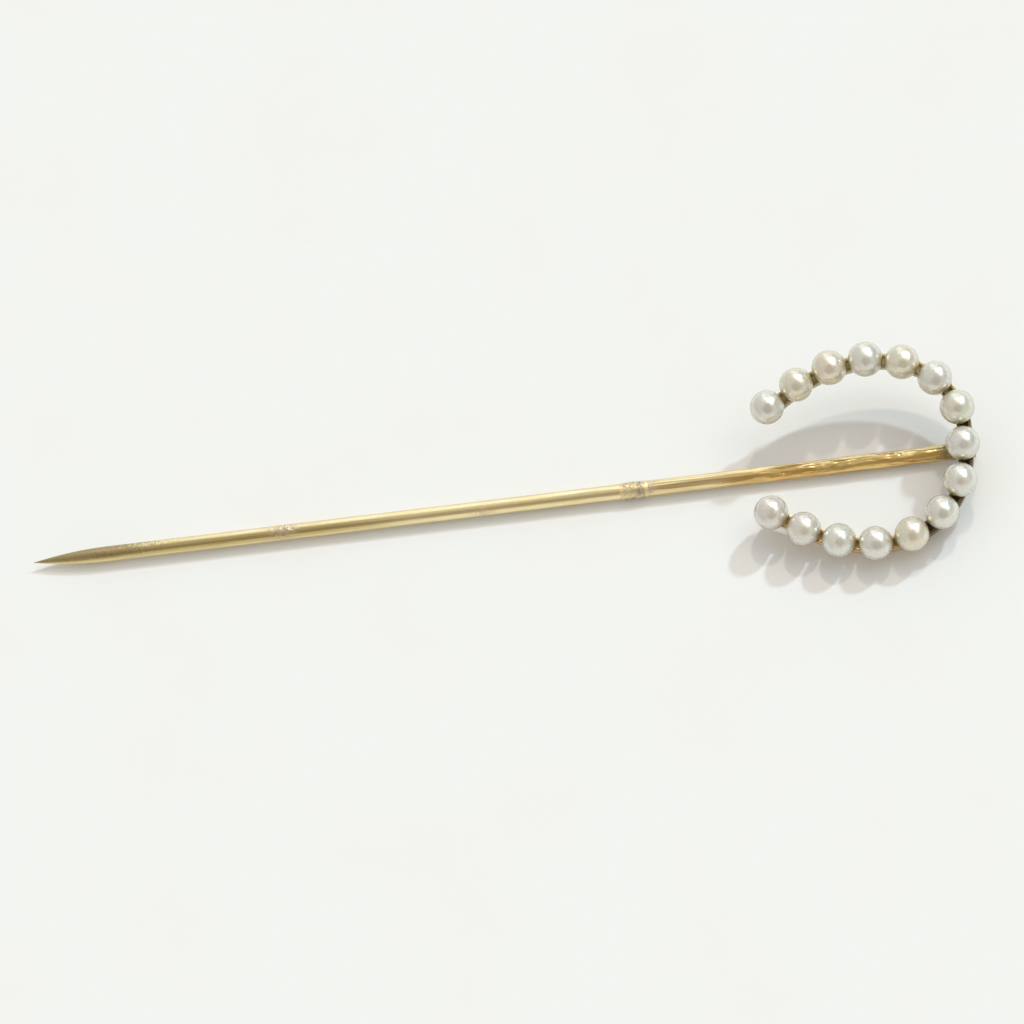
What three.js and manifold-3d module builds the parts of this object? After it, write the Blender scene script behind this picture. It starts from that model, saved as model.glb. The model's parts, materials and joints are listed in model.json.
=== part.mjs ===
// A short antique stick pin: an open horseshoe of half-drilled pearls, pegged into cups along a gold
// gallery, which stands on a saddle block across the flattened head of a round gold pin.
// Millimetres. The pin runs along X, point at -X. The whole lies on a table, as it rests when put down:
// on the pin and on the outer edge of one arm of the gallery.
import * as THREE from 'three';
import { mergeVertices } from 'three/addons/utils/BufferGeometryUtils.js';
import Module from 'manifold-3d';

const wasm = await Module();
wasm.setup();

// Fit: the film of solder or cement between two pieces
const FILM = 0.02;

// Pearls, counted from the end of one arm, over the crown, to the end of the other
const PEARL_RADIUS = 1.13;
const PEARL_PITCH = 2.42;
const DRILL_RADIUS = 0.25;
const DRILL_TOP = 0.15;

// The horseshoe: how far the row of pearls turns at the crown pearl, and at each next one down an arm.
// It is bent by hand, so the two arms differ a little, and it sits slightly askew on the pin.
const CROWN_TURN = 13;
const FAR_ARM_TURNS = [28, 26, 22, 18, 14, 11];
const NEAR_ARM_TURNS = [25, 24, 23, 19, 13, 9];
const HEAD_SKEW = -4;

// Cups and pegs. Heights in the head are measured from the plane of the pearls' centres.
const CUP_THICKNESS = 0.11;
const CUP_RIM = -0.85;
const SEAT_LIP = 64;
const PEG_RADIUS = 0.2;
const PEG_TOP = 0.08;

// Gallery: a narrow channel with its rails up
const GALLERY_WIDTH = 0.95;
const GALLERY_TOP = -0.7;
const GALLERY_BACK = -1.55;
const GALLERY_CHAMFER = 0.12;
const GROOVE_WIDTH = 0.5;
const GROOVE_FLOOR = -1.05;
const GALLERY_OVERHANG = 0.5;
const GALLERY_TOWARDS_CROWN = 0.12;

// Pin
const PIN_RADIUS = 0.525;
const POINT_TO_CROWN = 63.4;
const POINT_TAPER = 5.2;
const POINT_FULLNESS = 1.05;
const TAPER_SPACING = 1.4;
const TIP_RADIUS = 0.03;
const REPAIR_FROM_POINT = 41.4;
const PADDLE_FROM = -2.6;
const PADDLE_END = 0.55;
const PADDLE_ROUNDING = 0.1;
const PADDLE_WIDER = 1.04;
const PADDLE_THINNER = 0.7;

// Solder sleeve over the repair, and the saddle block under the crown
const SLEEVE_LENGTH = 1.9;
const SLEEVE_THICKNESS = 0.035;
const BLOCK_WIDTH = 0.96;
const BLOCK_FOOT = 0.62;
const BLOCK_NECK = 0.34;
const BLOCK_HEAD = 0.42;

// How high the pearls' centres stand above the axis of the pin
const HEAD_HEIGHT = 2.7;

// Fineness of the facets
const ROUND_SIDES = 14;
const PEG_SIDES = 8;
const PIN_SIDES = 12;
const GALLERY_STEPS_PER_PEARL = 4;

const CUP_INNER = PEARL_RADIUS + FILM;
const CUP_OUTER = CUP_INNER + CUP_THICKNESS;
const SEAT_RADIUS = CUP_OUTER + FILM;
const HALF_GALLERY = GALLERY_WIDTH / 2;

const material = (color, roughness, metalness) =>
  new THREE.MeshStandardMaterial({ color, roughness, metalness });
const pinGold = material(0xd9b25a, 0.24, 1);
const headGold = material(0xc39542, 0.34, 1);
const solder = material(0xb09a82, 0.5, 0.9);
const pearl = material(0xe9e6dc, 0.28, 0);

const radians = THREE.MathUtils.degToRad;

// Centres of the pearls down one arm, from the one beside the crown. Side is 1 for the far arm, -1 for the
// near arm.
function armCentres(turns, side) {
  const at = new THREE.Vector2();
  let heading = radians(CROWN_TURN / 2);
  return [...turns, 0].map((turn) => {
    at.x -= PEARL_PITCH * Math.sin(heading);
    at.y += PEARL_PITCH * Math.cos(heading) * side;
    heading += radians(turn);
    return at.clone();
  });
}

// Centres of all the pearls, in the plane of the head: x along the pin and y across it, crown at the origin
function pearlCentres() {
  const crown = new THREE.Vector2();
  const row = [...armCentres(FAR_ARM_TURNS, 1).reverse(), crown, ...armCentres(NEAR_ARM_TURNS, -1)];
  return row.map((p) => p.clone().rotateAround(crown, radians(HEAD_SKEW)));
}

// Points of an arc about the origin, between two angles from straight down, for a lathe profile
function arcFromBelow(radius, from, to, steps) {
  return Array.from({ length: steps + 1 }, (_, i) => {
    const angle = from + ((to - from) * i) / steps;
    return new THREE.Vector2(radius * Math.sin(angle), -radius * Math.cos(angle));
  });
}

// A turned piece standing on its axis, which is Z
function turned(profile, sides) {
  const geometry = new THREE.LatheGeometry(profile, sides);
  geometry.rotateX(Math.PI / 2);
  return geometry;
}

// Pearl: a ball with a hole drilled half-way up from below
function pearlGeometry() {
  const rim = Math.asin(DRILL_RADIUS / PEARL_RADIUS);
  const skin = arcFromBelow(PEARL_RADIUS, rim, Math.PI, 8);
  skin[skin.length - 1].x = 0;
  const hole = [new THREE.Vector2(0, DRILL_TOP), new THREE.Vector2(DRILL_RADIUS, DRILL_TOP)];
  return turned([...hole, ...skin], ROUND_SIDES);
}

// Cup: a thin dish that hugs the bottom of its pearl, with a hole for the peg
function cupGeometry() {
  const holeRadius = PEG_RADIUS + FILM;
  const inner = arcFromBelow(
    CUP_INNER, Math.asin(holeRadius / CUP_INNER), Math.acos(-CUP_RIM / CUP_INNER), 3);
  const outer = arcFromBelow(
    CUP_OUTER, Math.asin(holeRadius / CUP_OUTER), Math.acos(-CUP_RIM / CUP_OUTER), 3);
  return turned([...outer, ...inner.reverse(), outer[0].clone()], ROUND_SIDES);
}

// Peg: a wire through gallery and cup, filed flush behind, with its upper end eased
function pegGeometry() {
  const profile = [
    new THREE.Vector2(0, GALLERY_BACK + FILM),
    new THREE.Vector2(PEG_RADIUS, GALLERY_BACK + FILM),
    new THREE.Vector2(PEG_RADIUS, PEG_TOP - PEG_RADIUS / 2),
    new THREE.Vector2(PEG_RADIUS / 2, PEG_TOP),
    new THREE.Vector2(0, PEG_TOP),
  ];
  return turned(profile, PEG_SIDES);
}

// The space that one cup takes out of the gallery
function seatTool() {
  const lip = radians(SEAT_LIP);
  const bowl = arcFromBelow(SEAT_RADIUS, 0, lip, 5);
  bowl[0].x = 0;
  const wall = new THREE.Vector2(SEAT_RADIUS * Math.sin(lip), 0);
  return turned([...bowl, wall, new THREE.Vector2(0, 0)], ROUND_SIDES);
}

// The hole that one peg takes through the gallery
function pegHoleTool() {
  const radius = PEG_RADIUS + FILM;
  const profile = [
    new THREE.Vector2(0, GALLERY_BACK - 1),
    new THREE.Vector2(radius, GALLERY_BACK - 1),
    new THREE.Vector2(radius, GALLERY_TOP),
    new THREE.Vector2(0, GALLERY_TOP),
  ];
  return turned(profile, PEG_SIDES);
}

// Section of the gallery, swept along the row of pearls. x is depth below the pearls' centres, y is across.
function gallerySection() {
  const halfGroove = GROOVE_WIDTH / 2;
  return new THREE.Shape([
    new THREE.Vector2(-GALLERY_TOP, -HALF_GALLERY),
    new THREE.Vector2(-GALLERY_TOP, -halfGroove),
    new THREE.Vector2(-GROOVE_FLOOR, -halfGroove),
    new THREE.Vector2(-GROOVE_FLOOR, halfGroove),
    new THREE.Vector2(-GALLERY_TOP, halfGroove),
    new THREE.Vector2(-GALLERY_TOP, HALF_GALLERY),
    new THREE.Vector2(-GALLERY_BACK - GALLERY_CHAMFER, HALF_GALLERY),
    new THREE.Vector2(-GALLERY_BACK, HALF_GALLERY - GALLERY_CHAMFER),
    new THREE.Vector2(-GALLERY_BACK, -HALF_GALLERY + GALLERY_CHAMFER),
    new THREE.Vector2(-GALLERY_BACK - GALLERY_CHAMFER, -HALF_GALLERY),
  ]);
}

// The line of the gallery: along the row of pearls, but a touch nearer the crown, and a little past the last
// ones
function galleryPath(centres) {
  const points = centres.map((p) => new THREE.Vector3(p.x + GALLERY_TOWARDS_CROWN, p.y, 0));
  const past = (end, next) => end.clone().sub(next).setLength(GALLERY_OVERHANG).add(end);
  const first = past(points[0], points[1]);
  const last = past(points.at(-1), points.at(-2));
  return new THREE.CatmullRomCurve3([first, ...points, last]);
}

function toSolid(geometry) {
  const bare = geometry.clone();
  bare.deleteAttribute('normal');
  bare.deleteAttribute('uv');
  const merged = mergeVertices(bare, 1e-5);
  const mesh = new wasm.Mesh({
    numProp: 3,
    vertProperties: new Float32Array(merged.attributes.position.array),
    triVerts: new Uint32Array(merged.index.array),
  });
  return new wasm.Manifold(mesh);
}

function toGeometry(solid) {
  const mesh = solid.getMesh();
  const geometry = new THREE.BufferGeometry();
  geometry.setAttribute('position', new THREE.BufferAttribute(mesh.vertProperties, 3));
  geometry.setIndex(new THREE.BufferAttribute(mesh.triVerts, 1));
  geometry.computeVertexNormals();
  return geometry;
}

// Gallery: the swept channel with a seat and a peg hole under every pearl
function galleryGeometry(centres) {
  const bar = new THREE.ExtrudeGeometry(gallerySection(), {
    steps: centres.length * GALLERY_STEPS_PER_PEARL,
    bevelEnabled: false,
    extrudePath: galleryPath(centres),
  });
  const seat = toSolid(seatTool());
  const hole = toSolid(pegHoleTool());
  let solid = toSolid(bar);
  for (const { x, y } of centres) {
    solid = solid.subtract(seat.translate([x, y, 0]));
    solid = solid.subtract(hole.translate([x, y, 0]));
  }
  return toGeometry(solid);
}

// A round piece turned along X from a list of [x, radius]
function turnedAlongX(stations, sides) {
  const profile = stations.map(([x, radius]) => new THREE.Vector2(radius, x));
  const geometry = new THREE.LatheGeometry(profile, sides);
  geometry.rotateZ(-Math.PI / 2);
  return geometry;
}

const pointX = -POINT_TO_CROWN;
const repairX = pointX + REPAIR_FROM_POINT;

// Front length of the pin: an ogive point, then a plain round wire up to the repair
function pinPointGeometry() {
  const taperSteps = 9;
  const taper = Array.from({ length: taperSteps }, (_, i) => {
    const t = ((i + 1) / taperSteps) ** TAPER_SPACING;
    return [pointX + POINT_TAPER * t, PIN_RADIUS * (1 - (1 - t) ** 2) ** POINT_FULLNESS];
  });
  const end = repairX - FILM;
  return turnedAlongX(
    [[pointX, 0], [pointX + TIP_RADIUS, TIP_RADIUS], ...taper, [end, PIN_RADIUS], [end, 0]], PIN_SIDES);
}

// Rear length of the pin: round wire whose last stretch is hammered to a flat paddle
function pinShankGeometry() {
  const start = repairX + FILM;
  const paddleSteps = 8;
  const paddle = Array.from({ length: paddleSteps + 1 }, (_, i) => [
    PADDLE_FROM + ((PADDLE_END - PADDLE_FROM) * i) / paddleSteps, PIN_RADIUS]);
  const geometry = turnedAlongX(
    [[start, 0], [start, PIN_RADIUS], ...paddle,
      [PADDLE_END + PADDLE_ROUNDING, PIN_RADIUS - PADDLE_ROUNDING],
      [PADDLE_END + PADDLE_ROUNDING, 0]], PIN_SIDES);
  const position = geometry.attributes.position;
  for (let i = 0; i < position.count; i += 1) {
    const flat = THREE.MathUtils.smoothstep(position.getX(i), PADDLE_FROM, -BLOCK_FOOT);
    position.setY(i, position.getY(i) * THREE.MathUtils.lerp(1, PADDLE_WIDER, flat));
    position.setZ(i, position.getZ(i) * THREE.MathUtils.lerp(1, PADDLE_THINNER, flat));
  }
  geometry.computeVertexNormals();
  return geometry;
}

// Solder sleeve: a thin ring around the butt joint of the two lengths
function solderSleeveGeometry() {
  const inner = PIN_RADIUS + FILM;
  const outer = inner + SLEEVE_THICKNESS;
  const edge = SLEEVE_LENGTH / 2;
  const shoulder = SLEEVE_LENGTH / 4;
  const stations = [
    [repairX - edge, inner],
    [repairX - shoulder, outer],
    [repairX + shoulder, outer],
    [repairX + edge, inner],
    [repairX + shoulder, inner],
    [repairX - shoulder, inner],
    [repairX - edge, inner],
  ];
  return turnedAlongX(stations, PIN_SIDES);
}

// Saddle block: waisted, its foot on the paddle and its head against the back of the gallery
function saddleBlockGeometry() {
  const foot = PIN_RADIUS * PADDLE_THINNER + FILM;
  const head = HEAD_HEIGHT + GALLERY_BACK - FILM;
  const middle = (foot + head) / 2;
  const side = new THREE.Shape();
  side.moveTo(-BLOCK_FOOT, foot);
  side.lineTo(BLOCK_FOOT, foot);
  side.quadraticCurveTo(BLOCK_NECK, middle, BLOCK_HEAD, head);
  side.lineTo(-BLOCK_HEAD, head);
  side.quadraticCurveTo(-BLOCK_NECK, middle, -BLOCK_FOOT, foot);
  const geometry = new THREE.ExtrudeGeometry(side, {
    depth: BLOCK_WIDTH, bevelEnabled: false, curveSegments: 5 });
  geometry.rotateX(Math.PI / 2);
  geometry.translate(0, BLOCK_WIDTH / 2, 0);
  return geometry;
}

function named(name, geometry, finish) {
  const mesh = new THREE.Mesh(geometry, finish);
  mesh.name = name;
  return mesh;
}

function buildHead(centres) {
  const head = new THREE.Group();
  head.position.z = HEAD_HEIGHT;
  head.add(named('gallery', galleryGeometry(centres), headGold));
  const kinds = [
    ['pearl', pearlGeometry(), pearl],
    ['cup', cupGeometry(), headGold],
    ['peg', pegGeometry(), headGold],
  ];
  centres.forEach(({ x, y }, i) => {
    const number = String(i + 1).padStart(2, '0');
    for (const [kind, geometry, finish] of kinds) {
      const piece = named(`${kind}_${number}`, geometry, finish);
      piece.position.set(x, y, 0);
      head.add(piece);
    }
  });
  return head;
}

// How far the head is rolled about the pin, so that the outer back edge of the near arm is level with the
// underside of the pin
function restingRoll(centres) {
  const across = Math.max(...centres.map((p) => -p.y)) + HALF_GALLERY - GALLERY_CHAMFER;
  const up = HEAD_HEIGHT + GALLERY_BACK;
  return Math.atan2(up, across) + Math.asin(PIN_RADIUS / Math.hypot(across, up));
}

function buildStickPin() {
  const centres = pearlCentres();
  const body = new THREE.Group();
  body.add(buildHead(centres));
  body.add(named('pin_point', pinPointGeometry(), pinGold));
  body.add(named('pin_shank', pinShankGeometry(), pinGold));
  body.add(named('solder_sleeve', solderSleeveGeometry(), solder));
  body.add(named('saddle_block', saddleBlockGeometry(), headGold));
  body.rotation.x = restingRoll(centres);

  const stickPin = new THREE.Group();
  stickPin.add(body);
  const box = new THREE.Box3().setFromObject(stickPin, true);
  const middle = box.getCenter(new THREE.Vector3());
  body.position.set(-middle.x, -middle.y, -box.min.z);
  return stickPin;
}

export default buildStickPin();
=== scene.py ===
import json
import math

import bmesh
import bpy
import numpy as np
from mathutils import Matrix, Quaternion, Vector, noise


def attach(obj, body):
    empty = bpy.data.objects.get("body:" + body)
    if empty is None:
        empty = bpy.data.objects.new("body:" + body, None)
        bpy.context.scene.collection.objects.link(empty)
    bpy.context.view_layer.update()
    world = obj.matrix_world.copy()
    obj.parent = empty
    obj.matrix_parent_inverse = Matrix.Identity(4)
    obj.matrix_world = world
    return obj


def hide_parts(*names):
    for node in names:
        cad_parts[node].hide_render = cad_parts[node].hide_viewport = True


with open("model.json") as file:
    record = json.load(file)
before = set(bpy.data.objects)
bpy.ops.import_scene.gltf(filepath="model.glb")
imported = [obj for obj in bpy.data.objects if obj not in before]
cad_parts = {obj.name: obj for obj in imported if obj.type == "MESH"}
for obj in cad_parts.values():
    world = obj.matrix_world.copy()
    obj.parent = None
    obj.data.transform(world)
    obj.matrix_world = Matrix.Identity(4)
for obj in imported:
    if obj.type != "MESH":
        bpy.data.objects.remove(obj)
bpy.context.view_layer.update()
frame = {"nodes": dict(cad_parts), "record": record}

# A short antique stick pin: an open horseshoe of pearls, pegged into cups along a gold gallery, which stands
# on a saddle block across the flattened head of a round gold pin. The pin has been broken and soldered. It
# lies on a pale table, rolled over onto the pin and the outer edge of one arm of the horseshoe.
#
# Sizes are millimetres until a mesh is made. "Head axes" are the row frame rolled about X, so that Z is
# square to the plane of the pearls and Y runs across it.

MM = 0.001
PEARLS = 15

# The CAD model's sizes, and those of the finer detail on it
FILM = 0.02
PEARL_RADIUS = 1.13
DRILL_RADIUS = 0.25
DRILL_TOP = 0.15
CUP_THICKNESS = 0.11
CUP_RIM = -0.85
PEG_RADIUS = 0.2
PEG_TOP = 0.08
PEG_EASING = 0.1
PEG_PROUD = 0.03
GALLERY_WIDTH = 0.95
GALLERY_TOP = -0.7
GALLERY_BACK = -1.55
GALLERY_CHAMFER = 0.12
GALLERY_OVERHANG = 0.5
GALLERY_TOWARDS_CROWN = 0.12
GALLERY_EASING = 0.06
GROOVE_WIDTH = 0.5
GROOVE_FLOOR = -1.05
FAR_ARM_FILL = 0.22
PIN_RADIUS = 0.525
POINT_TAPER = 5.2
POINT_FULLNESS = 1.05
PADDLE_FROM = 2.6
PADDLE_ROUNDING = 0.1
PADDLE_WIDER = 1.04
PADDLE_THINNER = 0.7
WIRE_END_EASING = 0.03
SLEEVE_LENGTH = 1.9
SLEEVE_THICKNESS = 0.035
SLEEVE_EDGE = 0.012
SLEEVE_GAP = 0.004
BLOCK_WIDTH = 0.96
BLOCK_FOOT = 0.62
BLOCK_NECK = 0.34
BLOCK_HEAD = 0.42
BLOCK_EASING = 0.04

CUP_INNER = PEARL_RADIUS + FILM
CUP_OUTER = CUP_INNER + CUP_THICKNESS
SEAT_RADIUS = CUP_OUTER + FILM

# The view: the camera's bearing is measured from -Y towards +X, round a spot on the table
CAMERA_BEARING = math.radians(18.68)
CAMERA_ELEVATION = math.radians(63.21)
CAMERA_ROLL = math.radians(-23.68)
CAMERA_DISTANCE = 285.0
CAMERA_LENS = 150
AIM = Vector((0.73, 0.25, 0))

# Two lamps, with bearings measured from +Y towards +X. Each lights the table by its share of full white.
# The table glows a little, a painted light that keeps its shadows pale.
TABLE_ALBEDO = 0.84
TABLE_GLOW = 0.075
COOL_LAMP = {"elevation": 42.2, "bearing": 44.8, "share": (0.165, 0.205, 0.225), "spread": 3.5}
WARM_LAMP = {"elevation": 57.7, "bearing": 21.8, "share": (0.13, 0.115, 0.095), "spread": 3.5}


def node_name(kind, number):
    return f"{kind}_{number:02d}"


# ---------------------------------------------------------------- places, from the CAD model

back_axis = frame["record"]["mounts"][0]["axis"]
HEAD_AXES = Matrix.Rotation(math.asin(back_axis[1]), 4, "X")


def head_box(node):
    """Lowest and highest corner of a CAD node, in head axes."""
    turn = HEAD_AXES.inverted()
    points = np.array([turn @ v.co for v in frame["nodes"][node].data.vertices]) / MM
    return points.min(axis=0), points.max(axis=0)


def pearl_centre(number):
    """The middle of a pearl's round part, in head axes."""
    low, high = head_box(node_name("pearl", number))
    return np.array([(low[0] + high[0]) / 2, (low[1] + high[1]) / 2, high[2] - PEARL_RADIUS])


CENTRES = [pearl_centre(number) for number in range(1, PEARLS + 1)]
CROWN = CENTRES[PEARLS // 2]
PLANE = CROWN[2]
point_low, point_high = head_box("pin_point")
shank_low, shank_high = head_box("pin_shank")
PIN_AXIS = (point_low + point_high) / 2
TIP_X = point_low[0]
REPAIR_X = (point_high[0] + shank_low[0]) / 2


# ---------------------------------------------------------------- mesh helpers


def smoothstep(value, low, high):
    """Goes smoothly from 0 at low to 1 at high, which may be the smaller of the two."""
    t = np.clip((np.asarray(value, float) - low) / (high - low), 0, 1)
    return t * t * (3 - 2 * t)


def rough(points, grain, seed):
    """Smooth noise from -1 to 1 at each point. The grain is its size in millimetres along each axis."""
    shift = Vector((seed * 17.3, seed * 5.1, -seed * 9.7))
    scaled = np.asarray(points, float) / grain
    flat = scaled.reshape(-1, 3)
    values = np.array([noise.noise(Vector(p) + shift) for p in flat])
    return values.reshape(scaled.shape[:-1])


def ring(radius, height, sides):
    """A ring of points round Z."""
    turn = np.arange(sides) * math.tau / sides
    return np.stack([radius * np.cos(turn), radius * np.sin(turn), np.full(sides, height)], axis=1)


def lathe(profile, sides):
    """Rings of points round Z from a list of (radius, height)."""
    return np.array([ring(radius, height, sides) for radius, height in profile])


def quads(rows, columns, closed):
    """Faces of a grid whose columns wrap round, and whose rows do too if it is closed."""
    faces = []
    for row in range(rows if closed else rows - 1):
        here = row * columns
        there = (row + 1) % rows * columns
        for column in range(columns):
            beside = (column + 1) % columns
            faces.append((here + column, here + beside, there + beside, there + column))
    return faces


def make_mesh(name, rings, closed=False):
    """A mesh skinned over rings of points in millimetres, with a point in the middle of each end."""
    rows, columns, _ = rings.shape
    points = rings.reshape(-1, 3)
    faces = quads(rows, columns, closed)
    if not closed:
        last = (rows - 1) * columns
        first_tip, last_tip = len(points), len(points) + 1
        points = np.vstack([points, rings[0].mean(axis=0), rings[-1].mean(axis=0)])
        for column in range(columns):
            beside = (column + 1) % columns
            faces.append((first_tip, beside, column))
            faces.append((last_tip, last + column, last + beside))
    mesh = bpy.data.meshes.new(name)
    mesh.from_pydata((points * MM).tolist(), [], faces)
    mesh.validate()
    return mesh


def face_out(mesh):
    """Turns the faces to point outwards if they point in."""
    volume = sum(f.center.dot(f.normal) * f.area for f in mesh.polygons)
    if volume < 0:
        mesh.flip_normals()


def join_meeting_points(mesh):
    """Joins points in the same place, such as those of a wall that is cut down to a seat."""
    nearest = 0.0003 * MM
    form = bmesh.new()
    form.from_mesh(mesh)
    bmesh.ops.remove_doubles(form, verts=form.verts, dist=nearest)
    form.to_mesh(mesh)
    form.free()


def paint(mesh, name, values):
    """A number for each point, which the material reads by name. The two end points take the average."""
    flat = np.asarray(values, float).reshape(-1)
    padded = np.full(len(mesh.vertices), flat.mean())
    padded[: len(flat)] = flat
    attribute = mesh.attributes.new(name, "FLOAT", "POINT")
    attribute.data.foreach_set("value", padded.astype(np.float32))


def add_piece(node, mesh, material, origin, crease=50):
    """Shows a fine mesh, made about its origin in head axes, in place of its CAD node."""
    mesh.transform(HEAD_AXES)
    face_out(mesh)
    mesh.shade_smooth()
    mesh.set_sharp_from_angle(angle=math.radians(crease))
    mesh.materials.append(material)
    piece = bpy.data.objects.new(node + "_fine", mesh)
    bpy.context.scene.collection.objects.link(piece)
    piece.matrix_world = Matrix.Translation(HEAD_AXES @ (Vector(origin) * MM))
    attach(piece, "root")
    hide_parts(node)


# ---------------------------------------------------------------- materials

# Tarnish, which also stands in as painted shade on the point's upper side and on the shank under the head
TARNISH_AND_SHADE = (0.47, 0.37, 0.18)
OLD_TARNISH_AND_SHADE = (0.28, 0.21, 0.105)
# Painted shade: the deeper gold of the shank where it mirrors the table in the head's shadow
SHADED_GOLD = (0.82, 0.60, 0.25)
SHADED_DEEP_GOLD = (0.70, 0.45, 0.16)
# Painted reflection: the darker gold along the point's middle, where it mirrors the dim room at the viewer
DARK_REFLECTION_GOLD = (0.58, 0.46, 0.20)
DARK_CRUMBS = (0.36, 0.27, 0.20)
PALE_CRUMBS = (0.70, 0.60, 0.52)
VERDIGRIS = (0.19, 0.24, 0.12)

# The two lengths of wire. "Worn" is the colour of the scratches, "relief" the height of the drawing lines.
POINT_GOLD = {
    "pale": (0.92, 0.80, 0.49), "deep": (0.87, 0.71, 0.40), "worn": (0.40, 0.30, 0.16),
    "roughness": 0.17, "relief": 0.008, "seed": 11,
}
SHANK_GOLD = {
    "pale": (0.86, 0.72, 0.41), "deep": (0.82, 0.64, 0.34), "worn": (0.34, 0.20, 0.07),
    "roughness": 0.13, "relief": 0.005, "seed": 21,
}

SATIN_GOLD = (0.80, 0.60, 0.31)
DEEP_SATIN_GOLD = (0.70, 0.49, 0.24)
# Grime and painted shade in the gallery's recesses
GRIME_AND_SHADE = (0.45, 0.27, 0.14)
OLIVE_FILM = (0.38, 0.33, 0.17)
# Tarnish and painted shade, nearly black, round the gallery's crown
BLACK_TARNISH_AND_SHADE = (0.075, 0.052, 0.033)

SOLDER = (0.65, 0.53, 0.38)
DARK_SOLDER = (0.50, 0.39, 0.24)
BARE_GOLD = (0.80, 0.67, 0.38)
FEATHERED_GOLD = (0.84, 0.68, 0.38)
SOLDER_SPECKS = (0.36, 0.28, 0.20)
PIT_BLACK = (0.06, 0.04, 0.03)


class Nodes:
    """The nodes of a material or of the room."""

    def __init__(self, tree):
        self.tree = tree

    def node(self, kind, **settings):
        made = self.tree.nodes.new("ShaderNode" + kind)
        for name, value in settings.items():
            setattr(made, name, value)
        return made

    def put(self, socket, value):
        """Links a socket to another node's, or sets its number or colour."""
        if isinstance(value, bpy.types.NodeSocket):
            self.tree.links.new(value, socket)
        else:
            socket.default_value = value

    def vectors(self, operation, first, second, output):
        made = self.node("VectorMath", operation=operation)
        self.put(made.inputs[0], first)
        self.put(made.inputs[1], second)
        return made.outputs[output]

    def math(self, operation, first, second=0.0):
        made = self.node("Math", operation=operation, use_clamp=True)
        self.put(made.inputs[0], first)
        self.put(made.inputs[1], second)
        return made.outputs[0]

    def step(self, value, low, high, start=0.0, end=1.0):
        """Goes smoothly from start to end as the value goes from low to high."""
        made = self.node("MapRange", interpolation_type="SMOOTHSTEP")
        for socket, given in zip(made.inputs, (value, low, high, start, end)):
            self.put(socket, given)
        return made.outputs[0]

    def mix(self, factor, first, second):
        made = self.node("Mix", data_type="RGBA")
        self.put(made.inputs["Factor"], factor)
        for socket, value in zip(made.inputs[6:8], (first, second)):
            self.put(socket, (*value, 1) if isinstance(value, tuple) else value)
        return made.outputs[2]


class Shader(Nodes):
    """One material. Lengths are in millimetres, in the piece's own axes."""

    def __init__(self, name):
        self.material = bpy.data.materials.new(name)
        self.material.use_nodes = True
        super().__init__(self.material.node_tree)
        self.surface = self.tree.nodes["Principled BSDF"]
        place = self.node("TexCoord").outputs["Object"]
        self.place = self.scaled(place, (1 / MM, 1 / MM, 1 / MM))

    def scaled(self, vector, scale):
        return self.vectors("MULTIPLY", vector, scale, "Vector")

    def noise(self, grain, detail=4, roughness=0.55, seed=0):
        """Noise from 0 to 1 whose grain is a size in millimetres along each axis."""
        made = self.node("TexNoise", noise_dimensions="4D")
        self.put(made.inputs["Vector"], self.scaled(self.place, tuple(1 / g for g in grain)))
        self.put(made.inputs["W"], float(seed))
        self.put(made.inputs["Scale"], 1.0)
        self.put(made.inputs["Detail"], float(detail))
        self.put(made.inputs["Roughness"], roughness)
        return made.outputs["Fac"]

    def painted(self, name):
        """The numbers that were painted on the mesh under this name."""
        return self.node("Attribute", attribute_name=name).outputs["Fac"]

    def bump(self, height, distance, below=None):
        """A bump of that many millimetres for a height from 0 to 1, over an earlier bump."""
        made = self.node("Bump")
        self.put(made.inputs["Strength"], 1.0)
        self.put(made.inputs["Distance"], distance * MM)
        self.put(made.inputs["Height"], height)
        if below:
            self.put(made.inputs["Normal"], below)
        return made.outputs[0]

    def finish(self, **sockets):
        for name, value in sockets.items():
            self.put(self.surface.inputs[name.replace("_", " ")], value)
        return self.material


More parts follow.
